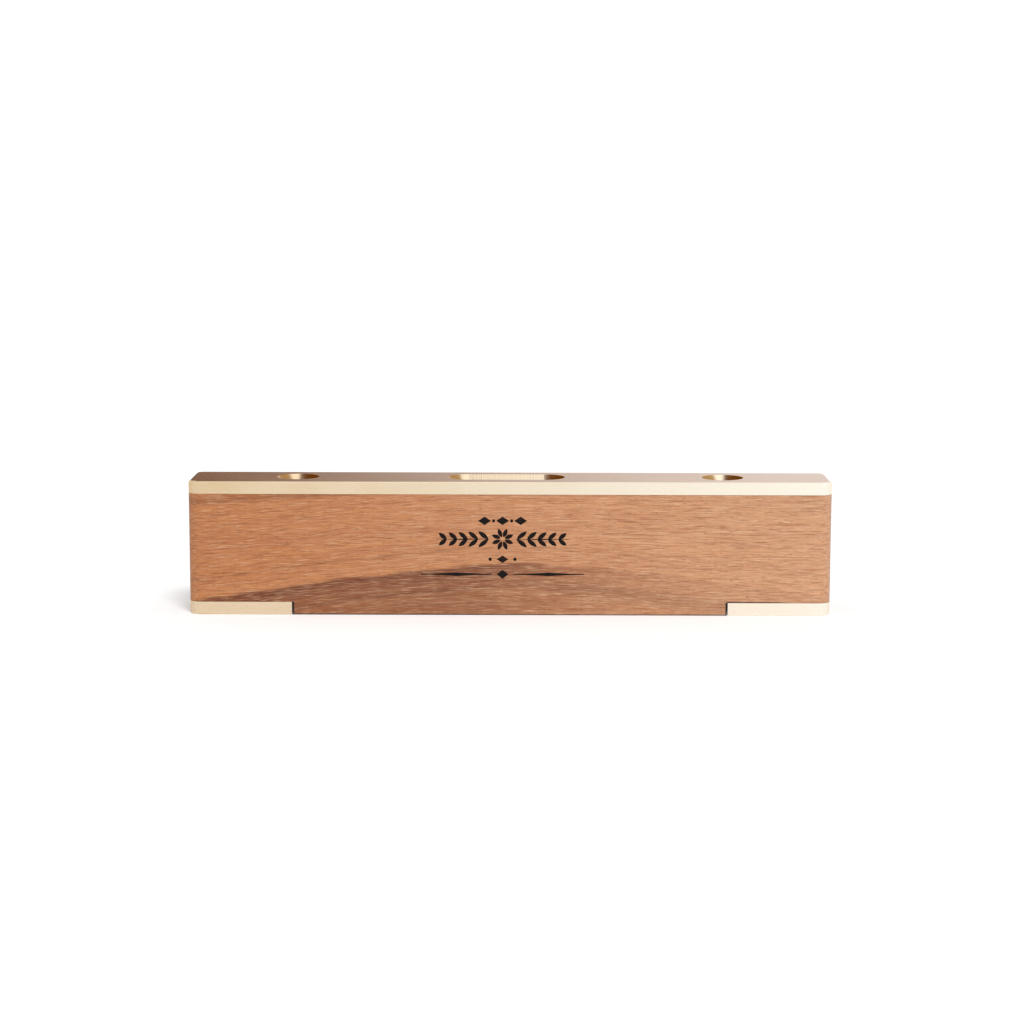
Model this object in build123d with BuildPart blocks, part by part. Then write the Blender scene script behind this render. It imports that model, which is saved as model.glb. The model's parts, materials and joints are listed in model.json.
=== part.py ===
from build123d import *

import os
from math import sqrt

# A joiner's spirit level: walnut stock, brass top plate and tips, and a glass vial bedded in plaster.
# +X runs along the level, +Y to its back, +Z up. The origin is the middle of the sole. Sizes are in mm.

# The whole level
length = 228.6
width = 25.4
height = 48.0

# Brass bar, 3/16 inch before it is filed flat: a plate along the top, and a tip at each end of the sole
plate_thickness = 4.6
tip_thickness = 4.6
tip_length = 36.7
tip_end_gap = 0.45  # the tip's rebate is cut a little longer than the tip

# Edges, dressed after the brass is fixed, so that stock, plate and tips share them
corner_radius = 4.5  # the four upright corners
end_radius = 1.5  # the edges across the two ends, at the top and at the sole
long_radius = 0.45  # the four long edges
joint_arris = 0.2  # wood edges that meet brass

# Sight window over the vial: a straight slot with a bevelled rim, a touch left of the middle
window_x = -1.4
window_length = 42.0
window_width = 15.0
window_bevel = 2.6

# Vial: a glass tube, ground inside to a barrel, closed by a dome at one end and a plug at the other
vial_radius = 6.0
vial_length = 52.0
vial_gap = 0.3  # from the glass to the underside of the plate
vial_dome = 2.5
cavity_length = 40.0
cavity_radius = 4.4  # at the middle of the barrel
barrel_radius = 400.0  # curve of the ground wall along the tube, which sets how far the bubble runs
bubble_length = 15.0
bubble_depth = 2.0
bubble_clearance = 0.3
index_width = 0.6
index_depth = 0.15
index_offset = 0.4  # from the end of the centred bubble to the near edge of its line

# Mortise for the vial, and the plaster under it
mortise_side = 2.0  # beyond each side of the vial; the mortise ends in half circles of its own width
mortise_gap = 0.2  # from the square shoulder of the vial to the half circle
bed_depth = 2.7  # plaster below the glass
bed_rise = 1.2  # plaster above the middle of the tube

# Slotted countersunk wood screws: two hold the plate, two hold each tip
plate_screw_spacing = 152.0
plate_sink_radius = 7.5  # at the face of the plate, so that the head lies deep in its dish
tip_screw_spacing = 18.0
tip_head_recess = 0.15
screw_clearance = 0.25  # round the shank, in the brass
plate_screw = {
    "head_radius": 4.75,
    "shank_radius": 2.4,
    "root_radius": 1.6,
    "screw_length": 31.75,
    "pitch": 1.95,
    "slot_width": 1.3,
    "slot_depth": 1.3,
}
tip_screw = {
    "head_radius": 3.45,
    "shank_radius": 1.75,
    "root_radius": 1.2,
    "screw_length": 15.9,
    "pitch": 1.4,
    "slot_width": 0.9,
    "slot_depth": 0.9,
}
head_rim = 0.25  # the thin upright edge round a screw's head
shank_share = 0.4  # of a wood screw's length that is plain
point_share = 0.14  # of a wood screw's length that is its point
root_step = 0.35  # of a pitch, from the crest of one thread down to the root of the next
crest_step = 0.85  # of a pitch, from the same crest down to the next crest's near side
plate_slot_turns = (24, -37)  # degrees at which the slots stopped, left to right
tip_slot_turns = (-62, 15, -15, 62)

# Worked-out places
half_length = length / 2
stock_height = height - plate_thickness
cavity_half = cavity_length / 2
vial_half = vial_length / 2
vial_z = stock_height - vial_gap - vial_radius
cavity_end_radius = cavity_radius - (barrel_radius - sqrt(barrel_radius**2 - cavity_half**2))
mortise_depth = vial_gap + 2 * vial_radius + bed_depth
mortise_radius = vial_radius + mortise_side
mortise_half = vial_half + mortise_radius - sqrt((mortise_radius - mortise_gap) ** 2 - vial_radius**2)
bubble_floor_z = vial_z + cavity_radius - bubble_depth
bubble_half_width = sqrt(2 * cavity_radius * bubble_depth - bubble_depth**2)
tip_centre_x = half_length - tip_length / 2
plate_head_z = height - (plate_sink_radius - plate_screw["head_radius"] - head_rim)
vial_plane = Plane(origin=(window_x, 0, vial_z), x_dir=(1, 0, 0), z_dir=(0, -1, 0))
plug_plane = Plane(origin=(window_x + cavity_half, 0, vial_z), z_dir=(1, 0, 0))


def wood_screw(plane, head_radius, shank_radius, root_radius, screw_length, pitch, slot_width, slot_depth):
    """One screw whose head face is the plane and whose point is below it. Its thread is a row of rings."""
    cone = head_radius - shank_radius
    shank_end = shank_share * screw_length
    point_start = screw_length * (1 - point_share)
    rings = int((point_start - shank_end) / pitch)
    outline = [(0, 0), (head_radius, 0), (head_radius, -head_rim)]
    outline += [(shank_radius, -head_rim - cone), (shank_radius, -shank_end)]
    for ring in range(rings):
        ring_top = -shank_end - ring * pitch
        outline.append((root_radius, ring_top - root_step * pitch))
        outline.append((shank_radius, ring_top - crest_step * pitch))
    outline += [(root_radius, -shank_end - rings * pitch), (0, -screw_length)]
    side = Plane(origin=plane.origin, x_dir=plane.x_dir, z_dir=-plane.y_dir)
    with BuildPart() as screw:
        with BuildSketch(side):
            with BuildLine():
                Polyline(*outline, close=True)
            make_face()
        revolve(axis=Axis(plane.origin, plane.z_dir))
        with BuildSketch(plane):
            Rectangle(3 * head_radius, slot_width)
        extrude(amount=-slot_depth, mode=Mode.SUBTRACT)
    return screw.part


def vial_tube():
    """The vial's outside as one solid: a round tube with a dome at its left end."""
    with BuildPart() as tube:
        with BuildSketch(vial_plane):
            with BuildLine():
                dome_start = (-vial_half, vial_radius - vial_dome)
                dome_end = (-vial_half + vial_dome, vial_radius)
                RadiusArc(dome_start, dome_end, vial_dome)
                Polyline(dome_end, (vial_half, vial_radius), (vial_half, 0), (-vial_half, 0), dome_start)
            make_face()
        revolve(axis=Axis(vial_plane.origin, (1, 0, 0)))
    return tube.part


def barrel(clearance=0):
    """The space that is ground inside the vial, drawn in from its curved wall by a clearance."""
    middle = (0, cavity_radius - clearance)
    left = (-cavity_half, cavity_end_radius - clearance)
    right = (cavity_half, cavity_end_radius - clearance)
    with BuildPart() as space:
        with BuildSketch(vial_plane):
            with BuildLine():
                ThreePointArc(left, middle, right)
                Polyline(right, (cavity_half, 0), (-cavity_half, 0), left)
            make_face()
        revolve(axis=Axis(vial_plane.origin, (1, 0, 0)))
    return space.part


def dressed_block():
    """The whole level as one block, with the edges that filing and sanding leave."""
    with BuildPart() as block:
        with BuildSketch():
            RectangleRounded(length, width, corner_radius)
        extrude(amount=height)
        with BuildSketch(Plane.XZ):
            with Locations((0, height / 2)):
                RectangleRounded(length, height, end_radius)
        extrude(amount=width, both=True, mode=Mode.INTERSECT)
        with BuildSketch(Plane.YZ):
            with Locations((0, height / 2)):
                RectangleRounded(width, height, long_radius)
        extrude(amount=length, both=True, mode=Mode.INTERSECT)
    return block.part


def outer_edges(face, shoulder_x):
    """The edges of a rebate's ceiling, without the one that lies on its shoulder."""
    return face.edges().filter_by(lambda edge: abs(abs(edge.center().X) - shoulder_x) > joint_arris)


def tip_screw_places(side):
    """X of the two screws in one tip."""
    return [side * (tip_centre_x + offset) for offset in (tip_screw_spacing / 2, -tip_screw_spacing / 2)]


def brass_tip(side):
    """A tip let into one end of the sole. Side is -1 for the left and +1 for the right."""
    with BuildPart() as tip:
        add(dressed)
        with BuildSketch():
            with Locations((side * tip_centre_x, 0)):
                Rectangle(tip_length, 2 * width)
        extrude(amount=tip_thickness, mode=Mode.INTERSECT)
        for x in tip_screw_places(side):
            with Locations(Plane(origin=(x, 0, 0), z_dir=(0, 0, -1))):
                CounterSinkHole(
                    tip_screw["shank_radius"] + screw_clearance,
                    tip_screw["head_radius"] + head_rim + tip_head_recess,
                    depth=tip_thickness,
                    counter_sink_angle=90,
                )
    return tip.part


os.makedirs("parts", exist_ok=True)
dressed = dressed_block()
pieces = {}

# The screws come first, because each one cuts its own thread in the wood
for name, side, turn in zip(("left", "right"), (-1, 1), plate_slot_turns):
    head = Plane(origin=(side * plate_screw_spacing / 2, 0, plate_head_z)).rotated((0, 0, turn))
    pieces[f"plate_screw_{name}"] = wood_screw(head, **plate_screw)
tip_screw_names = ("left_outer", "left_inner", "right_inner", "right_outer")
tip_screw_xs = sorted(tip_screw_places(-1) + tip_screw_places(1))
for name, x, turn in zip(tip_screw_names, tip_screw_xs, tip_slot_turns):
    head = Plane(origin=(x, 0, tip_head_recess), z_dir=(0, 0, -1)).rotated((0, 0, turn))
    pieces[f"tip_screw_{name}"] = wood_screw(head, **tip_screw)
screws = list(pieces.values())

# Stock: the dressed block below the plate, with a rebate for each tip, the mortise and the screw holes
with BuildPart() as stock:
    add(dressed)
    split(bisect_by=Plane.XY.offset(stock_height), keep=Keep.BOTTOM)
    with BuildSketch():
        with GridLocations(length, 0, 2, 1):
            Rectangle(2 * (tip_length + tip_end_gap), 2 * width)
    extrude(amount=tip_thickness, mode=Mode.SUBTRACT)
    levels = stock.faces().filter_by(Axis.Z).group_by(Axis.Z)
    for rebate in levels[1]:
        chamfer(outer_edges(rebate, half_length - tip_length - tip_end_gap), joint_arris)
    chamfer(levels[-1].edges(), joint_arris)
    with BuildSketch(Plane.XY.offset(stock_height)):
        with Locations((window_x, 0)):
            SlotOverall(2 * mortise_half, 2 * mortise_radius)
    extrude(amount=-mortise_depth, mode=Mode.SUBTRACT)
    for screw in screws:
        add(screw, mode=Mode.SUBTRACT)
pieces["stock"] = stock.part

# Top plate: the dressed block above the stock, with a bevelled window and two deep countersinks
with BuildPart() as top_plate:
    add(dressed)
    split(bisect_by=Plane.XY.offset(stock_height), keep=Keep.TOP)
    with BuildSketch(Plane.XY.offset(height)):
        with Locations((window_x, 0)):
            SlotOverall(window_length - 2 * window_bevel, window_width - 2 * window_bevel)
    extrude(amount=-plate_thickness, mode=Mode.SUBTRACT)
    window_rim = top_plate.faces().sort_by(Axis.Z)[-1].inner_wires().edges()
    chamfer(window_rim, window_bevel)
    with Locations(Plane.XY.offset(height)):
        with GridLocations(plate_screw_spacing, 0, 2, 1):
            CounterSinkHole(
                plate_screw["shank_radius"] + screw_clearance,
                plate_sink_radius,
                depth=plate_thickness,
                counter_sink_angle=90,
            )
pieces["top_plate"] = top_plate.part

pieces["tip_left"] = brass_tip(-1)
pieces["tip_right"] = brass_tip(1)

# Index lines: rings of black enamel in two grooves round the glass, one at each end of the centred bubble
index_x = bubble_length / 2 + index_offset + index_width / 2
for name, x in (("left", window_x - index_x), ("right", window_x + index_x)):
    with BuildPart() as index_line:
        with BuildSketch(Plane(origin=(x - index_width / 2, 0, vial_z), z_dir=(1, 0, 0))):
            Circle(vial_radius)
            Circle(vial_radius - index_depth, mode=Mode.SUBTRACT)
        extrude(amount=index_width)
    pieces[f"index_line_{name}"] = index_line.part

# Glass: the tube less its barrel, the two grooves, and the bore that opens the barrel at the right
with BuildPart() as vial_glass:
    add(vial_tube())
    add(barrel(), mode=Mode.SUBTRACT)
    for name in ("left", "right"):
        add(pieces[f"index_line_{name}"], mode=Mode.SUBTRACT)
    with BuildSketch(plug_plane):
        Circle(cavity_end_radius)
    extrude(amount=vial_half - cavity_half, mode=Mode.SUBTRACT)
pieces["vial_glass"] = vial_glass.part

# Plug: cemented in the open end of the bore
with BuildPart() as vial_plug:
    with BuildSketch(plug_plane):
        Circle(cavity_end_radius)
    extrude(amount=vial_half - cavity_half)
pieces["vial_plug"] = vial_plug.part

# Spirit: fills the barrel, apart from the room for the bubble at its crown
with BuildPart() as vial_spirit:
    add(barrel())
    with BuildSketch(Plane.XY.offset(bubble_floor_z)):
        with Locations((window_x, 0)):
            SlotOverall(bubble_length, 2 * bubble_half_width)
    extrude(amount=2 * bubble_depth, mode=Mode.SUBTRACT)
pieces["vial_spirit"] = vial_spirit.part

# Bubble: lies under the crown of the barrel, clear of the glass all along its run
with BuildPart() as vial_bubble:
    add(barrel(clearance=bubble_clearance))
    with BuildSketch(Plane.XY.offset(bubble_floor_z + bubble_clearance)):
        with Locations((window_x, 0)):
            SlotOverall(bubble_length - 2 * bubble_clearance, 2 * (bubble_half_width - bubble_clearance))
    extrude(amount=2 * bubble_depth, mode=Mode.INTERSECT)
pieces["vial_bubble"] = vial_bubble.part

# Plaster bed: fills the mortise up to just above the middle of the vial
with BuildPart() as plaster_bed:
    with BuildSketch(Plane.XY.offset(stock_height - mortise_depth)):
        with Locations((window_x, 0)):
            SlotOverall(2 * mortise_half, 2 * mortise_radius)
    extrude(amount=bed_depth + vial_radius + bed_rise)
    add(vial_tube(), mode=Mode.SUBTRACT)
pieces["plaster_bed"] = plaster_bed.part

for name, piece in pieces.items():
    piece.label = name
    export_step(piece, f"parts/{name}.step")
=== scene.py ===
import json
import math
import bmesh
import bpy
from mathutils import Matrix, Vector


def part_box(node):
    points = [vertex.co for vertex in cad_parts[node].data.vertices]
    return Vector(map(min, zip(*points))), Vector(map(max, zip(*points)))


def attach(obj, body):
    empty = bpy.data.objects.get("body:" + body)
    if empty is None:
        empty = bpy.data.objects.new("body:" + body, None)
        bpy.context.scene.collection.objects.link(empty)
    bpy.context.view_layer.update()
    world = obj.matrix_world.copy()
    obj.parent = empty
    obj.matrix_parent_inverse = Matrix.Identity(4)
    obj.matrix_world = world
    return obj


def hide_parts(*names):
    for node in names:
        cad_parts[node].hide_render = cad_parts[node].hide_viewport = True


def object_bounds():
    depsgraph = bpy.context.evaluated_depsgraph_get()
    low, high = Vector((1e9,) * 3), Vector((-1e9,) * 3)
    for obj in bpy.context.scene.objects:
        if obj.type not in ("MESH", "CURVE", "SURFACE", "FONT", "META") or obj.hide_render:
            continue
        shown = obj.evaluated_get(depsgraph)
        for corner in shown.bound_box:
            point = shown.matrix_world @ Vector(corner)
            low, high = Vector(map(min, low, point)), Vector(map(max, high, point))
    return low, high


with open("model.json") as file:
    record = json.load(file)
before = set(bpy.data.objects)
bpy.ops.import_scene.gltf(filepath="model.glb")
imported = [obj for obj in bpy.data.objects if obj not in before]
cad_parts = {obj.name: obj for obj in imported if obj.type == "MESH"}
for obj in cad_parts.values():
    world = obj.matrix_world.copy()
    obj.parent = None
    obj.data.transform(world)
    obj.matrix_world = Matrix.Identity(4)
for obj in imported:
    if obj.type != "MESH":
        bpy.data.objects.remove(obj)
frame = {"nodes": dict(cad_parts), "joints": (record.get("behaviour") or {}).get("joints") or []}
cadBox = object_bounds()
mm = 0.001
centre = (cadBox[0] + cadBox[1]) / 2
smooth = {"interpolation_type": "SMOOTHSTEP"}  # a Map Range that eases in and out
print("frame loaded:", len(frame["nodes"]), "nodes")


def linear(hexColour):  # sRGB hex to the linear values that shaders work in
    channels = [int(hexColour[i:i + 2], 16) / 255 for i in (0, 2, 4)]
    return [c / 12.92 if c <= 0.04045 else ((c + 0.055) / 1.055) ** 2.4 for c in channels] + [1]


def addNode(tree, kind, settings={}, links={}):
    node = tree.nodes.new("ShaderNode" + kind)
    for name, value in settings.items():
        if isinstance(name, str) and hasattr(node, name):
            setattr(node, name, value)
        else:
            node.inputs[name].default_value = value
    for name, source in links.items():
        socket = source.outputs[0] if isinstance(source, bpy.types.Node) else source
        tree.links.new(socket, node.inputs[name])
    return node


def startMaterial(name, **settings):  # a Principled material, and its place on the object in millimetres
    material = bpy.data.materials.new(name)
    material.use_nodes = True
    tree = material.node_tree
    shader = tree.nodes["Principled BSDF"]
    for socket, value in settings.items():
        shader.inputs[socket.replace("_", " ")].default_value = value
    onObject = addNode(tree, "TexCoord").outputs["Object"]
    place = addNode(tree, "VectorMath", {"operation": "SCALE", "Scale": 1 / mm}, {0: onObject})
    return material, tree, shader, place


def grain(tree, source, size, detail=2):  # noise with features this many mm long along X, Y and Z
    divided = addNode(tree, "VectorMath", {"operation": "DIVIDE", 1: size}, {0: source})
    return addNode(tree, "TexNoise", {"Scale": 1, "Detail": detail}, {"Vector": divided})


def raiseSurface(tree, shader, height, depthMm):  # bump from a 0 to 1 height
    bump = addNode(tree, "Bump", {"Strength": 1, "Distance": depthMm * mm}, {"Height": height})
    tree.links.new(bump.outputs[0], shader.inputs["Normal"])


def layColours(tree, colour, layers):  # lays each colour over the one before, where its mask is 1
    for hexColour, mask in layers:
        below = colour.outputs[2]
        colour = addNode(tree, "Mix", {"data_type": "RGBA", 7: linear(hexColour)}, {0: mask, 6: below})
    return colour


def paint(material, *nodeNames):
    for nodeName in nodeNames:
        slots = frame["nodes"][nodeName].data.materials
        slots.clear()
        slots.append(material)


def newPiece(name, work, material):  # a mesh piece from bmesh work, at the frame's origin
    mesh = bpy.data.meshes.new(name)
    work.to_mesh(mesh)
    work.free()
    mesh.materials.append(material)
    piece = bpy.data.objects.new(name, mesh)
    bpy.context.scene.collection.objects.link(piece)
    return piece


# Camera: a long lens, a little above the level; distance in metres, angles in degrees, shifts in millimetres
view = {"lensMm": 88.2, "sensorMm": 36, "distance": 0.9031, "lookDown": 8.376, "turn": 0.215, "roll": 0.126,
        "shiftRight": 0.70, "shiftUp": 11.19, "clipStart": 0.01, "clipEnd": 50}


def placeCamera():
    turn = Matrix.Rotation(math.radians(view["turn"]), 3, "Z")
    down = math.radians(view["lookDown"])
    roll = math.radians(view["roll"])
    back = turn @ Vector((0, -math.cos(down), math.sin(down)))
    level = turn @ Vector((1, 0, 0))
    upright = back.cross(level)
    right = math.cos(roll) * level + math.sin(roll) * upright
    up = back.cross(right)
    data = bpy.data.cameras.new("camera")
    data.lens = view["lensMm"]
    data.sensor_width = view["sensorMm"]
    data.clip_start, data.clip_end = view["clipStart"], view["clipEnd"]
    camera = bpy.data.objects.new("camera", data)
    camera.rotation_mode = "QUATERNION"
    camera.rotation_quaternion = Matrix((right, up, back)).transposed().to_quaternion()
    shift = (right * view["shiftRight"] + up * view["shiftUp"]) * mm
    camera.location = centre + back * view["distance"] + shift
    bpy.context.scene.collection.objects.link(camera)
    bpy.context.scene.camera = camera


placeCamera()
print("camera placed")

# Studio: a white table in a white room. What polished surfaces mirror of the room is dim and brown behind on
# the left, cool and bright behind on the right, golden far to the right, and white in front, under a wide
# softbox. Turns are places along a direction of length 1; the softbox's edges are such places divided by height.
studio = {
    "floorColour": "F3F2F2", "floorHalf": 60, "floorLift": 0.18, "backdrop": 1.1,
    "glowLeft": (0.02, 0.03, 0.03), "glowRight": (0.24, 0.34, 0.49), "glowFrom": -0.16, "glowTo": 0.2,
    "backLeft": (0.145, 0.048, 0.0), "backRight": (0.91, 0.97, 1.22), "turnFrom": -0.19, "turnTo": 0.12,
    "farRight": (0.50, 0.34, 0.16), "farFrom": 0.2, "farTo": 0.5,
    "front": (1.03, 1.1, 1.18), "frontFrom": -0.1, "frontTo": -0.4,
    "low": (0.66, 0.64, 0.62), "lowFrom": 0.08, "lowTo": -0.08,
    "softboxGlow": 1.25, "softboxLeft": -0.06, "softboxRight": 0.45, "softboxFront": -0.9, "softboxBack": 0.2,
    "softboxBlur": 0.1, "softboxFoot": 0.2,
    "fillFromAllSides": 0.57, "keyStrength": 1.6, "keySpread": 17, "keyTowards": (0.21, -0.60, 1.0),
}


def makeFloor():
    work = bmesh.new()
    bmesh.ops.create_grid(work, x_segments=1, y_segments=1, size=studio["floorHalf"])
    material, tree, shader, place = startMaterial("matt white paper floor", Roughness=0.9)
    shader.inputs["Base Color"].default_value = linear(studio["floorColour"])
    # the table glows a little from below, more to the right, and what the lens sees of it is lifted to white,
    # as an overexposed background is
    across = addNode(tree, "SeparateXYZ", {}, {0: place}).outputs["X"]
    rightward = addNode(tree, "MapRange", {**smooth, "From Min": studio["glowFrom"] / mm,
                                           "From Max": studio["glowTo"] / mm}, {"Value": across})
    glow = addNode(tree, "Mix", {"data_type": "RGBA", 6: (*studio["glowLeft"], 1),
                                 7: (*studio["glowRight"], 1)}, {0: rightward})
    seen = addNode(tree, "LightPath").outputs["Is Camera Ray"]
    shown = addNode(tree, "Mix", {"data_type": "RGBA", 7: (*[studio["floorLift"]] * 3, 1)},
                    {0: seen, 6: glow.outputs[2]})
    tree.links.new(shown.outputs[2], shader.inputs["Emission Color"])
    shader.inputs["Emission Strength"].default_value = 1
    newPiece("floor", work, material)


def mirroredRoom(tree):  # the room as polished surfaces show it
    towards = addNode(tree, "SeparateXYZ", {}, {0: addNode(tree, "TexCoord").outputs["Generated"]})
    x, y, z = towards.outputs
    masks = {}
    for name, direction in (("turn", x), ("far", x), ("front", y), ("low", z)):
        masks[name] = addNode(tree, "MapRange", {**smooth, "From Min": studio[name + "From"],
                                                 "From Max": studio[name + "To"]}, {"Value": direction})
    leftRight = addNode(tree, "Math", {"operation": "DIVIDE"}, {0: x, 1: z})
    frontBack = addNode(tree, "Math", {"operation": "DIVIDE"}, {0: y, 1: z})
    softbox = addNode(tree, "Math", {"operation": "GREATER_THAN", 1: studio["softboxFoot"]}, {0: z})
    blur = studio["softboxBlur"]
    for across, name, side in ((leftRight, "softboxLeft", 1), (leftRight, "softboxRight", -1),
                               (frontBack, "softboxFront", 1), (frontBack, "softboxBack", -1)):
        inside = addNode(tree, "MapRange", {**smooth, "From Min": studio[name] - side * blur,
                                            "From Max": studio[name] + side * blur}, {"Value": across})
        softbox = addNode(tree, "Math", {"operation": "MULTIPLY"}, {0: softbox, 1: inside})
    room = addNode(tree, "Mix", {"data_type": "RGBA", 6: (*studio["backLeft"], 1),
                                 7: (*studio["backRight"], 1)}, {0: masks["turn"]})
    for light, mask in ((studio["farRight"], masks["far"]), (studio["front"], masks["front"]),
                        (studio["low"], masks["low"]), ([studio["softboxGlow"]] * 3, softbox)):
        room = addNode(tree, "Mix", {"data_type": "RGBA", 7: (*light, 1)}, {0: mask, 6: room.outputs[2]})
    return room


def lightRoom():
    world = bpy.data.worlds.new("room")
    bpy.context.scene.world = world
    world.use_nodes = True
    tree = world.node_tree
    path = addNode(tree, "LightPath")
    shown = mirroredRoom(tree)
    for light, ray in ((studio["fillFromAllSides"], "Is Diffuse Ray"), (studio["backdrop"], "Is Camera Ray")):
        shown = addNode(tree, "Mix", {"data_type": "RGBA", 7: (*[light] * 3, 1)},
                        {0: path.outputs[ray], 6: shown.outputs[2]})
    tree.links.new(shown.outputs[2], tree.nodes["Background"].inputs["Color"])
    lamp = bpy.data.lights.new("key", "SUN")  # the softbox as a light: it gives the floor its one soft shadow
    lamp.energy = studio["keyStrength"]
    lamp.angle = math.radians(studio["keySpread"])
    key = bpy.data.objects.new("key", lamp)
    key.visible_glossy = False
    key.rotation_mode = "QUATERNION"
    key.rotation_quaternion = Vector(studio["keyTowards"]).to_track_quat("Z", "Y")
    bpy.context.scene.collection.objects.link(key)
    bpy.context.scene.view_settings.view_transform = "Standard"


makeFloor()
lightRoom()
print("studio lit")

# Walnut, flat-sawn, planed and thinly oiled: an arched figure with a dark streak low on the face, fine fibres,
# open pores as short dark dashes, and a soft low gloss. Places and sizes are in millimetres; a size is along
# X, Y and Z.
walnut = {
    "light": "C5804C", "mid": "B97346", "right": "DAA87F", "dark": "5E2408", "endGrain": "8E7466",
    "paleAndLitFromX": -90, "paleAndLitToX": 115, "paleAndLitShare": 0.62,  # the board is paler towards its right end: partly its own colour, partly painted light where more light falls
    "peakX": 5, "archWidth": 30, "slope": 0.150, "slopeLoss": -0.0018,  # the arch, which is flatter higher up
    "wander": 3.2, "wanderSize": (46, 30, 14),  # how far the layers stray
    "pith": (40, -35), "ringSize": (170, 2.4, 1), "ringFrom": 0.3, "ringTo": 0.62,
    "fibreLeft": 0.5, "fibreRight": 0.22,  # how much of the arch the fibres follow
    "ragged": 3.4, "raggedSize": (16, 0.6, 0.6),  # how far the streak and lines stray
    "endFrom": 0.9, "endStrength": 0.6,
    "glossyRoughness": 0.46, "fibreRoughness": 0.62, "poreDepth": -1.5, "fibreDepth": -0.4, "reliefMm": 0.03,
}
streak = {
    "top": 18.2, "startsAbove": 2.3, "fullAbove": 0.6, "foot": 6.0, "footStrength": 0.62,
    "bandSize": (60, 1.7, 1.7), "bandFrom": 0.36, "bandTo": 0.6, "bandStrength": 0.68,
    "fadeFromX": 70, "fadeToX": -35, "rightStrength": 0.12,
}
# a greyer band low on the right half: its layer, where it starts and is full beside that, and along X
greyBand = {"colour": "6E4A38", "height": 11.8, "halfWidth": 4.2, "fullWidth": 1.0, "strength": 0.26,
            "fromX": 2, "toX": 24}
# each growth line: the layer it lies at, its width, and its strength
growthLines = {
    "over the streak": (24.4, 0.9, 0.30),
    "streak edge": (17.6, 0.8, 0.45),
    "second": (14.2, 0.7, 0.35),
    "third": (10.6, 0.8, 0.35),
    "under the plate": (47.5, 2.2, 0.45),
}
# each mark: its length along the grain and its thickness, the noise it shows from and to, its colour, and its
# strength at the left and at the right end; fibres and pores are coarser than real ones, so that they show
woodMarks = {
    "late wood": (30, 0.65, 0.54, 0.66, "A9623A", 0.30, 0.50),
    "pale late wood": (22, 0.55, 0.56, 0.68, "E6BE98", 0.16, 0.36),
    "dark fibres": (6.5, 0.25, 0.50, 0.68, "8A4E31", 0.66, 0.58),
    "pale fibres": (5.0, 0.24, 0.53, 0.70, "EABD94", 0.48, 0.58),
    "pores": (1.9, 0.20, 0.60, 0.72, "5C3119", 0.66, 0.62),
}
markDepth = 4  # how much deeper into the wood a mark runs than it is thick
# painted shade, and how far it reaches: up the sole's arrises, beside and up the open end of each tip's rebate,
# and above and along the joint over the right tip
paintedShade = {
    "colour": "2A170E", "soleTo": 0.5, "soleFrom": 0.25, "soleStrength": 0.9,
    "gapMiddle": 0.35, "gapTo": 0.55, "gapFrom": 0.4, "gapTop": 0.2,
    "jointMiddle": 0.12, "jointTo": 0.32, "jointFrom": 0.2, "openBefore": 0.5, "openTo": 24, "openFrom": 14,
}


def growthLayer(tree, place, x, z):  # a layer's height, which drops from the arch's peak to both ends
    fromPeak = addNode(tree, "Math", {"operation": "SUBTRACT", 1: walnut["peakX"]}, {0: x})
    spread = addNode(tree, "CombineXYZ", {"Y": walnut["archWidth"]}, {"X": fromPeak})
    reach = addNode(tree, "VectorMath", {"operation": "LENGTH"}, {0: spread}).outputs["Value"]
    drop = addNode(tree, "Math", {"operation": "SUBTRACT", 1: walnut["archWidth"]}, {0: reach})
    slope = addNode(tree, "Math", {"operation": "MULTIPLY_ADD", 1: walnut["slopeLoss"], 2: walnut["slope"]},
                    {0: z})
    flat = addNode(tree, "Math", {"operation": "MULTIPLY_ADD"}, {0: drop, 1: slope, 2: z})
    stray = grain(tree, place, walnut["wanderSize"], detail=3)
    wavy = addNode(tree, "Math", {"operation": "MULTIPLY_ADD", 1: walnut["wander"]}, {0: stray, 2: flat})
    return addNode(tree, "Math", {"operation": "SUBTRACT", 1: walnut["wander"] / 2}, {0: wavy})


def ringTone(tree, along):  # rings round the pith, behind and below, so that the end grain shows arcs
    pithY, pithZ = walnut["pith"]
    fromPith = addNode(tree, "VectorMath", {"operation": "MULTIPLY_ADD", 1: (0, 1, 1), 2: (0, -pithY, -pithZ)},
                       {0: along})
    radius = addNode(tree, "VectorMath", {"operation": "LENGTH"}, {0: fromPith}).outputs["Value"]
    x = addNode(tree, "SeparateXYZ", {}, {0: along}).outputs["X"]
    ringPlace = addNode(tree, "CombineXYZ", {}, {"X": x, "Y": radius})
    rings = grain(tree, ringPlace, walnut["ringSize"], detail=3)
    share = addNode(tree, "MapRange", {"From Min": walnut["ringFrom"], "From Max": walnut["ringTo"]},
                    {"Value": rings})
    return addNode(tree, "Mix", {"data_type": "RGBA", 6: linear(walnut["mid"]), 7: linear(walnut["light"])},
                   {0: share})


def streakMask(tree, ragged, along, leftward):  # darkest just under its ragged top, with paler bands below
    under = addNode(tree, "MapRange", {**smooth, "From Min": streak["top"] + streak["startsAbove"],
                                       "From Max": streak["top"] + streak["fullAbove"]}, {"Value": ragged})
    fade = addNode(tree, "MapRange", {"From Min": streak["foot"], "From Max": streak["top"],
                                      "To Min": streak["footStrength"]}, {"Value": ragged})
    bands = addNode(tree, "MapRange", {"From Min": streak["bandFrom"], "From Max": streak["bandTo"],
                                       "To Min": streak["bandStrength"]},
                    {"Value": grain(tree, along, streak["bandSize"], detail=3)})
    mask = under
    for factor in (fade, bands, leftward):
        mask = addNode(tree, "Math", {"operation": "MULTIPLY"}, {0: mask, 1: factor})
    return mask


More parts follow.
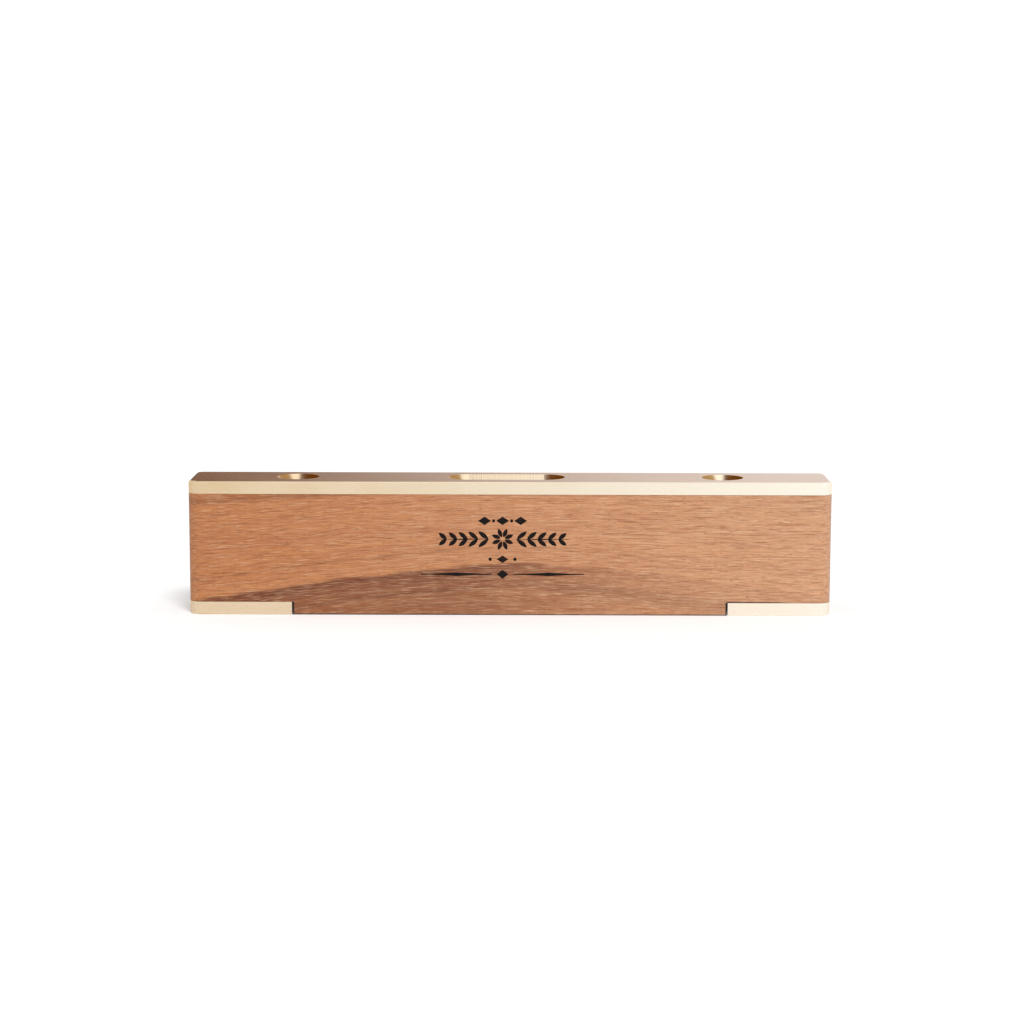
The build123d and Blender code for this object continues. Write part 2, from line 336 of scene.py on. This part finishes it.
def greyBandMask(tree, ragged, x):
    fromMiddle = addNode(tree, "Math", {"operation": "SUBTRACT", 1: greyBand["height"]}, {0: ragged})
    beside = addNode(tree, "Math", {"operation": "ABSOLUTE"}, {0: fromMiddle})
    band = addNode(tree, "MapRange", {**smooth, "From Min": greyBand["halfWidth"],
                                      "From Max": greyBand["fullWidth"],
                                      "To Max": greyBand["strength"]}, {"Value": beside})
    onRight = addNode(tree, "MapRange", {**smooth, "From Min": greyBand["fromX"],
                                         "From Max": greyBand["toX"]}, {"Value": x})
    return addNode(tree, "Math", {"operation": "MULTIPLY"}, {0: band, 1: onRight})


def growthLineMasks(tree, ragged, leftward):
    masks = []
    for height, width, strength in growthLines.values():
        away = addNode(tree, "Math", {"operation": "SUBTRACT", 1: height + walnut["ragged"] / 2}, {0: ragged})
        off = addNode(tree, "Math", {"operation": "ABSOLUTE"}, {0: away})
        line = addNode(tree, "MapRange", {**smooth, "From Min": width, "From Max": 0, "To Max": strength},
                       {"Value": off})
        masks.append(addNode(tree, "Math", {"operation": "MULTIPLY"}, {0: line, 1: leftward}))
    return masks


def woodMarkMasks(tree, fibrePlace, rightward):
    masks = {}
    for name, (length, thickness, showFrom, showTo, tint, left, right) in woodMarks.items():
        noise = grain(tree, fibrePlace, (length, markDepth * thickness, thickness), detail=3)
        strength = addNode(tree, "MapRange", {"To Min": left, "To Max": right}, {"Value": rightward})
        masks[name] = addNode(tree, "MapRange", {"From Min": showFrom, "From Max": showTo},
                              {"Value": noise, "To Max": strength})
    return masks


# painted shade: masks along the sole's arrises, in the gap at each tip's rebate and along the joint over the
# right tip
def paintedShadeMasks(tree, x, z):
    sole = addNode(tree, "MapRange", {"From Min": paintedShade["soleTo"], "From Max": paintedShade["soleFrom"],
                                      "To Max": paintedShade["soleStrength"]}, {"Value": z})
    outward = addNode(tree, "Math", {"operation": "ABSOLUTE"}, {0: x})
    fromGap = addNode(tree, "Math", {"operation": "SUBTRACT", 1: tipInnerMm - paintedShade["gapMiddle"]},
                      {0: outward})
    fromJoint = addNode(tree, "Math", {"operation": "SUBTRACT", 1: tipTopMm + paintedShade["jointMiddle"]}, {0: z})
    thin = []
    for away, name in ((fromGap, "gap"), (fromJoint, "joint")):
        beside = addNode(tree, "Math", {"operation": "ABSOLUTE"}, {0: away})
        reach = {"From Min": paintedShade[name + "To"], "From Max": paintedShade[name + "From"]}
        thin.append(addNode(tree, "MapRange", reach, {"Value": beside}))
    gap, joint = thin
    underTop = addNode(tree, "MapRange", {"From Min": tipTopMm + paintedShade["gapTop"], "From Max": tipTopMm},
                       {"Value": z})
    gap = addNode(tree, "Math", {"operation": "MULTIPLY"}, {0: gap, 1: underTop})
    for start, end in ((-paintedShade["openBefore"], 0), (paintedShade["openTo"], paintedShade["openFrom"])):
        openPart = addNode(tree, "MapRange", {"From Min": tipInnerMm + start, "From Max": tipInnerMm + end},
                           {"Value": x})
        joint = addNode(tree, "Math", {"operation": "MULTIPLY"}, {0: joint, 1: openPart})
    return sole, gap, joint


def makeWalnut():
    material, tree, shader, place = startMaterial("oiled walnut", IOR=1.45)
    x, y, z = addNode(tree, "SeparateXYZ", {}, {0: place}).outputs
    layer = growthLayer(tree, place, x, z)
    rightward = addNode(tree, "MapRange", {"From Min": walnut["paleAndLitFromX"], "From Max": walnut["paleAndLitToX"]},
                        {"Value": x})
    share = addNode(tree, "MapRange", {"To Min": walnut["fibreLeft"], "To Max": walnut["fibreRight"]},
                    {"Value": rightward})
    lift = addNode(tree, "Math", {"operation": "SUBTRACT"}, {0: layer, 1: z})
    fibreHeight = addNode(tree, "Math", {"operation": "MULTIPLY_ADD"}, {0: lift, 1: share, 2: z})
    along = addNode(tree, "CombineXYZ", {}, {"X": x, "Y": y, "Z": layer})
    fibrePlace = addNode(tree, "CombineXYZ", {}, {"X": x, "Y": y, "Z": fibreHeight})
    stray = grain(tree, fibrePlace, walnut["raggedSize"], detail=4)
    ragged = addNode(tree, "Math", {"operation": "MULTIPLY_ADD", 1: walnut["ragged"]}, {0: stray, 2: layer})
    leftward = addNode(tree, "MapRange", {**smooth, "From Min": streak["fadeFromX"],
                                          "From Max": streak["fadeToX"],
                                          "To Min": streak["rightStrength"]}, {"Value": x})
    # partly painted light: paler towards the right end, where more light falls, as well as by the board's own
    # colour
    paler = addNode(tree, "Math", {"operation": "MULTIPLY", 1: walnut["paleAndLitShare"]}, {0: rightward})
    marks = woodMarkMasks(tree, fibrePlace, rightward)
    layers = [(walnut["right"], paler)]
    layers.append((walnut["dark"], streakMask(tree, ragged, along, leftward)))
    layers.append((greyBand["colour"], greyBandMask(tree, ragged, x)))
    layers += [(walnut["dark"], line) for line in growthLineMasks(tree, ragged, leftward)]
    layers += [(woodMarks[name][4], mask) for name, mask in marks.items()]
    colour = layColours(tree, ringTone(tree, along), layers)
    # end grain drinks the oil and is darker
    facing = addNode(tree, "SeparateXYZ", {}, {0: addNode(tree, "NewGeometry").outputs["Normal"]})
    facingEnd = addNode(tree, "Math", {"operation": "ABSOLUTE"}, {0: facing.outputs["X"]})
    endGrain = addNode(tree, "MapRange", {"From Min": walnut["endFrom"], "To Max": walnut["endStrength"]},
                       {"Value": facingEnd})
    colour = addNode(tree, "Mix", {"data_type": "RGBA", "blend_type": "MULTIPLY",
                                   7: linear(walnut["endGrain"])}, {0: endGrain, 6: colour.outputs[2]})
    # painted shade: darker along the sole's arrises, in the gap beside each tip and along the joint over the
    # right tip
    colour = layColours(tree, colour, [(paintedShade["colour"], mask) for mask in paintedShadeMasks(tree, x, z)])
    tree.links.new(colour.outputs[2], shader.inputs["Base Color"])
    gloss = addNode(tree, "MapRange", {"To Min": walnut["glossyRoughness"],
                                       "To Max": walnut["fibreRoughness"]}, {"Value": marks["dark fibres"]})
    tree.links.new(gloss.outputs[0], shader.inputs["Roughness"])
    dents = addNode(tree, "Math", {"operation": "MULTIPLY_ADD", 1: walnut["poreDepth"], 2: 1},
                    {0: marks["pores"]})
    relief = addNode(tree, "Math", {"operation": "MULTIPLY_ADD", 1: walnut["fibreDepth"]},
                     {0: marks["dark fibres"], 2: dents})
    raiseSurface(tree, shader, relief, walnut["reliefMm"])
    return material


tipLow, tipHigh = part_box("tip_right")
tipInnerMm = tipLow.x / mm
tipTopMm = tipHigh.z / mm
paint(makeWalnut(), "stock")
print("walnut done")

# Cartridge brass bar, drawn, filed flat and finished on fine paper along its length, then lacquered: pale
# gold, satin, with straight lines, drawn coarser than real ones, so that they show. The window's bevel is
# milled across and the two dishes are turned. Sizes are in millimetres.
brass = {
    "colour": "EDD4B0", "pale": "F6E8D0", "stain": "DDBB88", "edge": "F5E2CC",
    "stainSize": (23, 15, 15), "stainFrom": 0.45, "stainTo": 0.8, "stainStrength": 0.45,
    "paleAndLitFromX": -90, "paleAndLitToX": 115, "tipPaintedLight": 0.32, "tipMargin": 1,  # the tips are painted paler: a painted reflection of the brighter table before them
    "roughness": 0.26, "smoother": 0.05, "rougher": 0.07, "lineFrom": 0.3, "lineTo": 0.7,
    "lineSize": (38, 0.34, 0.34), "millMm": 0.55, "turnMm": 0.22, "cutDepth": 3, "reliefMm": 0.006,
    "cutRoughness": 0.21, "cutHalf": 8.5, "cutMargin": 0.5, "cutStart": 0.02, "cutFull": 0.08,
}


def cutMarks(tree, x, y, z):  # where the plate is cut, and the tool marks there
    sideways = addNode(tree, "Math", {"operation": "ABSOLUTE"}, {0: y})
    inCut = addNode(tree, "MapRange", {"From Min": brass["cutHalf"] + brass["cutMargin"],
                                       "From Max": brass["cutHalf"]}, {"Value": sideways})
    below = addNode(tree, "MapRange", {"From Min": plateTopMm - brass["cutStart"],
                                       "From Max": plateTopMm - brass["cutFull"]}, {"Value": z})
    outward = addNode(tree, "Math", {"operation": "ABSOLUTE"}, {0: x})
    inDish = addNode(tree, "Math", {"operation": "GREATER_THAN", 1: dishX / 2}, {0: outward})
    fromDish = addNode(tree, "Math", {"operation": "SUBTRACT", 1: dishX}, {0: outward})
    dishSpread = addNode(tree, "CombineXYZ", {}, {"X": fromDish, "Y": y})
    dishRadius = addNode(tree, "VectorMath", {"operation": "LENGTH"}, {0: dishSpread}).outputs["Value"]
    turned = addNode(tree, "Math", {"operation": "DIVIDE", 1: brass["turnMm"]}, {0: dishRadius})
    milled = addNode(tree, "Math", {"operation": "DIVIDE", 1: brass["millMm"]}, {0: x})
    across = addNode(tree, "Mix", {}, {0: inDish, 2: milled, 3: turned})
    marks = addNode(tree, "TexNoise", {"noise_dimensions": "1D", "Scale": 1, "Detail": 1}, {"W": across})
    cut = addNode(tree, "Math", {"operation": "MULTIPLY"}, {0: inCut, 1: below})
    return cut, addNode(tree, "Math", {"operation": "MULTIPLY", 1: brass["cutDepth"]}, {0: marks})


def makeBarBrass():
    material, tree, shader, place = startMaterial("satin drawn brass", Metallic=1)
    shader.inputs["Specular Tint"].default_value = linear(brass["edge"])
    x, y, z = addNode(tree, "SeparateXYZ", {}, {0: place}).outputs
    handled = grain(tree, place, brass["stainSize"], detail=3)
    tone = addNode(tree, "MapRange", {"From Min": brass["stainFrom"], "From Max": brass["stainTo"],
                                      "To Max": brass["stainStrength"]}, {"Value": handled})
    colour = addNode(tree, "Mix", {"data_type": "RGBA", 6: linear(brass["colour"]), 7: linear(brass["stain"])},
                     {0: tone})
    # painted light: the bar is painted paler towards its right end, where more light falls, and the tips are
    # painted paler as a painted reflection of the table
    rightward = addNode(tree, "MapRange", {"From Min": brass["paleAndLitFromX"], "From Max": brass["paleAndLitToX"]},
                        {"Value": x})
    wearAndPaintedLight = addNode(tree, "MapRange", {"From Min": tipTopMm + brass["tipMargin"], "From Max": tipTopMm,
                                      "To Max": brass["tipPaintedLight"]}, {"Value": z})
    paler = addNode(tree, "Math", {"operation": "MAXIMUM"}, {0: rightward, 1: wearAndPaintedLight})
    colour = layColours(tree, colour, [(brass["pale"], paler)])
    tree.links.new(colour.outputs[2], shader.inputs["Base Color"])
    lines = grain(tree, place, brass["lineSize"], detail=3)
    cut, toolMarks = cutMarks(tree, x, y, z)
    height = addNode(tree, "Mix", {}, {0: cut, 2: lines, 3: toolMarks})
    raiseSurface(tree, shader, height, brass["reliefMm"])
    rough = addNode(tree, "MapRange", {"From Min": brass["lineFrom"], "From Max": brass["lineTo"],
                                       "To Min": brass["roughness"] - brass["smoother"],
                                       "To Max": brass["roughness"] + brass["rougher"]}, {"Value": lines})
    gloss = addNode(tree, "Mix", {3: brass["cutRoughness"]}, {0: cut, 2: rough})
    tree.links.new(gloss.outputs[0], shader.inputs["Roughness"])
    return material


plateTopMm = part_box("top_plate")[1].z / mm
screwLow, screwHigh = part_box("plate_screw_right")
dishX = (screwLow.x + screwHigh.x) / 2 / mm
paint(makeBarBrass(), "top_plate", "tip_left", "tip_right")

# Screw brass, turned on an automatic lathe and a little dulled since: a deeper gold than the bar, with dull
# patches and a fine even grain
screwBrass = {
    "colour": "D2AE6C", "dull": "8C6A3C", "dullMm": 1.6, "dullFrom": 0.4, "dullTo": 0.75, "dullStrength": 0.6,
    "roughness": 0.33, "smoother": 0.08, "rougher": 0.1, "grainMm": 0.16, "reliefMm": 0.004,
}


def makeScrewBrass():
    material, tree, shader, place = startMaterial("turned screw brass", Metallic=1)
    dulled = grain(tree, place, (screwBrass["dullMm"],) * 3, detail=3)
    tone = addNode(tree, "MapRange", {"From Min": screwBrass["dullFrom"], "From Max": screwBrass["dullTo"],
                                      "To Max": screwBrass["dullStrength"]}, {"Value": dulled})
    colour = addNode(tree, "Mix", {"data_type": "RGBA", 6: linear(screwBrass["colour"]),
                                   7: linear(screwBrass["dull"])}, {0: tone})
    tree.links.new(colour.outputs[2], shader.inputs["Base Color"])
    fine = grain(tree, place, (screwBrass["grainMm"],) * 3, detail=1)
    raiseSurface(tree, shader, fine, screwBrass["reliefMm"])
    rough = addNode(tree, "MapRange", {"To Min": screwBrass["roughness"] - screwBrass["smoother"],
                                       "To Max": screwBrass["roughness"] + screwBrass["rougher"]},
                    {"Value": dulled})
    tree.links.new(rough.outputs[0], shader.inputs["Roughness"])
    return material


paint(makeScrewBrass(), *[name for name in frame["nodes"] if "screw" in name])
print("brass done")

# Vial: soda glass, yellow-green spirit, a bubble, black enamel lines and the plaster that holds them
vial = {
    "glass": "F4FBF6", "spirit": "D3E84A", "air": "FFFFFF", "enamel": "101010", "cement": "B9AE98",
    "plaster": "E9E4DA", "plasterDark": 0.86, "plasterLight": 1.04,
    "overlapMm": 0.03, "bubbleGapMm": 0.12, "bubbleInsetMm": 0.1, "noseSquareness": 0.8, "rimDrop": 0.45,
    "steps": 48, "rings": 16,
}


def clearMaterial(name, hexColour, **settings):
    material, tree, shader, place = startMaterial(name, **settings)
    shader.inputs["Base Color"].default_value = linear(hexColour)
    shader.inputs["Transmission Weight"].default_value = 1
    return material, tree, shader, place


def grainedMaterial(name, hexColour, size, detail, depthMm, **settings):
    material, tree, shader, place = startMaterial(name, **settings)
    shader.inputs["Base Color"].default_value = linear(hexColour)
    raiseSurface(tree, shader, grain(tree, place, (size,) * 3, detail), depthMm)
    return material, tree, shader, place


def makeGlass():  # drawn tube: clear and bright, with a slight waviness along it
    material, tree, shader, place = clearMaterial("polished soda glass", vial["glass"], IOR=1.52,
                                                  Roughness=0.02)
    raiseSurface(tree, shader, grain(tree, place, (14, 3, 3), detail=1), depthMm=0.012)
    return material


def makePlaster():  # poured and scraped: chalky, dull and a little mottled
    material, tree, shader, place = grainedMaterial("cast plaster", vial["plaster"], size=0.7, detail=4,
                                                    depthMm=0.08, Roughness=0.85)
    mottled = addNode(tree, "MapRange", {"To Min": vial["plasterDark"], "To Max": vial["plasterLight"]},
                      {"Value": grain(tree, place, (2.5, 2.5, 2.5), detail=4)})
    tone = addNode(tree, "CombineColor", {}, {0: mottled, 1: mottled, 2: mottled})
    colour = addNode(tree, "Mix", {"data_type": "RGBA", "blend_type": "MULTIPLY", 0: 1,
                                   6: linear(vial["plaster"])}, {7: tone})
    tree.links.new(colour.outputs[2], shader.inputs["Base Color"])
    return material


glassLow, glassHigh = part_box("vial_glass")
spiritLow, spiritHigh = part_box("vial_spirit")
bubbleLow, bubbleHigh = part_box("vial_bubble")
vialX = (spiritLow.x + spiritHigh.x) / 2
vialZ = (glassLow.z + glassHigh.z) / 2
barrelHalf = (spiritHigh.x - spiritLow.x) / 2
barrelMiddle = vialZ - spiritLow.z  # the bore's radius at the middle
barrelCurve = vialZ + barrelMiddle - frame["joints"][0]["pos_m"][2]


def barrelRadius(x):  # the bore's radius at a distance from the middle
    return barrelMiddle - barrelCurve + math.sqrt(barrelCurve ** 2 - x ** 2)


def crownHeight(x, y):  # the top of the bubble's room, a gap below the glass
    return vialZ + math.sqrt(barrelRadius(x) ** 2 - y ** 2) - vial["bubbleGapMm"] * mm


def makeSpirit(material):  # the whole bore, turned, and a hair into the glass, so that no film of air shows
    work = bmesh.new()
    steps = vial["steps"]
    stations = [barrelHalf * (2 * i / steps - 1) for i in range(steps + 1)]
    profile = [(-barrelHalf, 0)]
    profile += [(x, barrelRadius(x) + vial["overlapMm"] * mm) for x in stations]
    profile.append((barrelHalf, 0))
    points = [work.verts.new((vialX + x, 0, vialZ + r)) for x, r in profile]
    edges = [work.edges.new(pair) for pair in zip(points, points[1:])]
    bmesh.ops.spin(work, geom=points + edges, cent=(vialX, 0, vialZ), axis=(1, 0, 0), angle=2 * math.pi,
                   steps=2 * steps, use_duplicate=False)
    bmesh.ops.remove_doubles(work, verts=work.verts, dist=1e-6)
    bmesh.ops.recalc_face_normals(work, faces=work.faces)
    for face in work.faces:
        face.smooth = abs(face.normal.x) < 0.5
    return newPiece("spirit_column", work, material)


def bubbleRow(work, share, onTop):  # one ring of the bubble, at a share of the way from its middle to its rim
    halfLength = (bubbleHigh.x - bubbleLow.x) / 2 - vial["bubbleInsetMm"] * mm
    halfWidth = (bubbleHigh.y - bubbleLow.y) / 2
    floor = bubbleLow.z
    curl = 1 - math.sqrt(max(0, 1 - share ** 4))  # 0 at the middle, 1 at the rim
    row = []
    for step in range(vial["steps"]):
        angle = 2 * math.pi * step / vial["steps"]
        c, s = math.cos(angle), math.sin(angle)
        x = halfLength * math.copysign(abs(c) ** vial["noseSquareness"], c)
        y = halfWidth * math.copysign(abs(s) ** vial["noseSquareness"], s)
        rimZ = crownHeight(x, y)
        rimZ -= vial["rimDrop"] * (rimZ - floor)
        x, y = x * share, y * share
        topZ = crownHeight(x, y)
        z = topZ + (rimZ - topZ) * curl if onTop else floor + (rimZ - floor) * curl
        row.append(work.verts.new((vialX + x, y, z)))
    return row


def makeBubble(material):  # flat below, domed to the bore above, with a round nose at each end
    work = bmesh.new()
    for onTop in (True, False):
        middle = work.verts.new((vialX, 0, crownHeight(0, 0) if onTop else bubbleLow.z))
        shares = [math.sin(math.pi / 2 * ring / vial["rings"]) for ring in range(1, vial["rings"] + 1)]
        rows = [bubbleRow(work, share, onTop) for share in shares]
        for i in range(vial["steps"]):
            j = (i + 1) % vial["steps"]
            work.faces.new((middle, rows[0][i], rows[0][j]))
            for inner, outer in zip(rows, rows[1:]):
                work.faces.new((inner[i], outer[i], outer[j], inner[j]))
    bmesh.ops.remove_doubles(work, verts=work.verts, dist=1e-6)
    bmesh.ops.recalc_face_normals(work, faces=work.faces)
    for face in work.faces:
        face.normal_flip()  # the spirit is outside this surface and the air inside it
        face.smooth = True
    return newPiece("air_bubble", work, material)


paint(makeGlass(), "vial_glass")
enamel = grainedMaterial("black stove enamel", vial["enamel"], size=0.8, detail=2, depthMm=0.01, IOR=1.5,
                         Roughness=0.3)[0]  # baked on: hard, black and smooth
paint(enamel, "index_line_left", "index_line_right")
cement = grainedMaterial("set cement", vial["cement"], size=0.6, detail=4, depthMm=0.05,
                         Roughness=0.8)[0]  # pressed in: grey-buff and gritty
paint(cement, "vial_plug")
paint(makePlaster(), "plaster_bed")
spiritMaterial = clearMaterial("dyed spirit", vial["spirit"], IOR=1.36, Roughness=0)[0]
spiritColumn = makeSpirit(spiritMaterial)
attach(spiritColumn, "level")
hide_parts("vial_spirit")
bubbleMaterial = clearMaterial("air in spirit", vial["air"], IOR=1.36, Roughness=0)[0]
airBubble = makeBubble(bubbleMaterial)
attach(airBubble, "bubble")
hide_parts("vial_bubble")
print("vial done")

# Printed mark: a plain ornament in black ink, with no letters in it. Rows are heights above its centre, in mm.
mark = {
    "ink": "130D0B", "wearSize": (2.6, 0.3, 0.3), "wearFrom": 0.62, "wearTo": 0.72, "wearStrength": 0.6,
    "centreX": -2.6, "centreZ": 23.7, "thicknessMm": 0.05, "sunkMm": 0.02,
    "topRow": 10.3, "flowerRow": 3.7, "dotRow": -3.5, "footRow": -8.9,
}


def makeInk():  # pressed into the grain: flat black, broken where fibres stand up through it
    material, tree, shader, place = startMaterial("black printing ink on wood", Roughness=0.8, IOR=1.3)
    wearAndPaintedLight = grain(tree, place, mark["wearSize"], detail=2)
    bare = addNode(tree, "MapRange", {"From Min": mark["wearFrom"], "From Max": mark["wearTo"],
                                      "To Max": mark["wearStrength"]}, {"Value": wearAndPaintedLight})
    colour = addNode(tree, "Mix", {"data_type": "RGBA", 6: linear(mark["ink"]), 7: linear(walnut["dark"])},
                     {0: bare})
    tree.links.new(colour.outputs[2], shader.inputs["Base Color"])
    raiseSurface(tree, shader, wearAndPaintedLight, depthMm=0.02)
    return material


def leafOutline(length, width, turn, x, z):  # a pointed leaf from x, z, along turn in degrees
    c, s = math.cos(math.radians(turn)), math.sin(math.radians(turn))
    half = [(length * t / 8, width / 2 * math.sin(math.pi * t / 8) ** 0.8) for t in range(1, 8)]
    outline = [(0, 0)] + [(u, -v) for u, v in half] + [(length, 0)] + [(u, v) for u, v in reversed(half)]
    return [(x + u * c - v * s, z + u * s + v * c) for u, v in outline]


def lozengeOutline(width, height, x, z):
    return [(x - width / 2, z), (x, z - height / 2), (x + width / 2, z), (x, z + height / 2)]


def roundOutline(radius, x, z):
    angles = [math.pi * i / 10 for i in range(20)]
    return [(x + radius * math.cos(a), z + radius * math.sin(a)) for a in angles]


def ruleOutline(length, height, x, z):  # a line that swells at its middle
    half = [(length * t / 24, height / 2 * (0.25 + 0.75 * (1 - abs(t) / 12) ** 2)) for t in range(-12, 13)]
    return [(x + u, z - v) for u, v in half] + [(x + u, z + v) for u, v in reversed(half)]


def flowerOutlines(petals, eye):  # petals that start round a small eye
    shapes = []
    for i in range(petals):
        turn = 360 / petals * (i + 0.5)
        x, z = eye * math.cos(math.radians(turn)), eye * math.sin(math.radians(turn))
        shapes.append(leafOutline(length=3.3, width=1.5, turn=turn, x=x, z=mark["flowerRow"] + z))
    return shapes


def sprayOutlines(side):  # a stem with five pairs of leaves that shorten outwards
    shapes = []
    for i in range(5):
        for lean in (-38, 38):
            turn = lean if side > 0 else 180 - lean
            shapes.append(leafOutline(4.6 - 0.25 * i, 1.55, turn, side * (5.0 + 3.7 * i), mark["flowerRow"]))
    shapes.append(ruleOutline(length=19, height=0.5, x=side * 14.2, z=mark["flowerRow"]))
    return shapes


def ornamentOutlines():
    shapes = [lozengeOutline(width=4.6, height=3.0, x=6.4 * i, z=mark["topRow"]) for i in (-1, 0, 1)]
    shapes += [roundOutline(radius=0.55, x=3.2 * i, z=mark["topRow"]) for i in (-1, 1)]
    shapes += flowerOutlines(petals=8, eye=0.75)
    shapes += sprayOutlines(-1) + sprayOutlines(1)
    shapes.append(lozengeOutline(width=4.2, height=2.6, x=0, z=mark["dotRow"]))
    shapes += [roundOutline(radius=0.6, x=4.4 * i, z=mark["dotRow"]) for i in (-1, 1)]
    shapes += [ruleOutline(length=25, height=1.3, x=16.4 * i, z=mark["footRow"]) for i in (-1, 1)]
    shapes.append(lozengeOutline(width=4.2, height=3.2, x=0, z=mark["footRow"]))
    return shapes


def makeMark(material):
    front = cadBox[0].y / mm
    near = front - mark["thicknessMm"] + mark["sunkMm"]
    far = front + mark["sunkMm"]
    work = bmesh.new()
    for outline in ornamentOutlines():
        corners = [(mark["centreX"] + x, mark["centreZ"] + z) for x, z in outline]
        faceNear = work.faces.new([work.verts.new((x * mm, near * mm, z * mm)) for x, z in corners])
        faceFar = work.faces.new([work.verts.new((x * mm, far * mm, z * mm)) for x, z in reversed(corners)])
        nearVerts, farVerts = list(faceNear.verts), list(reversed(faceFar.verts))
        for i in range(len(corners)):
            j = (i + 1) % len(corners)
            work.faces.new((nearVerts[j], nearVerts[i], farVerts[i], farVerts[j]))
    return newPiece("printed_mark", work, material)


printedMark = makeMark(makeInk())
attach(printedMark, "level")
print("mark done")
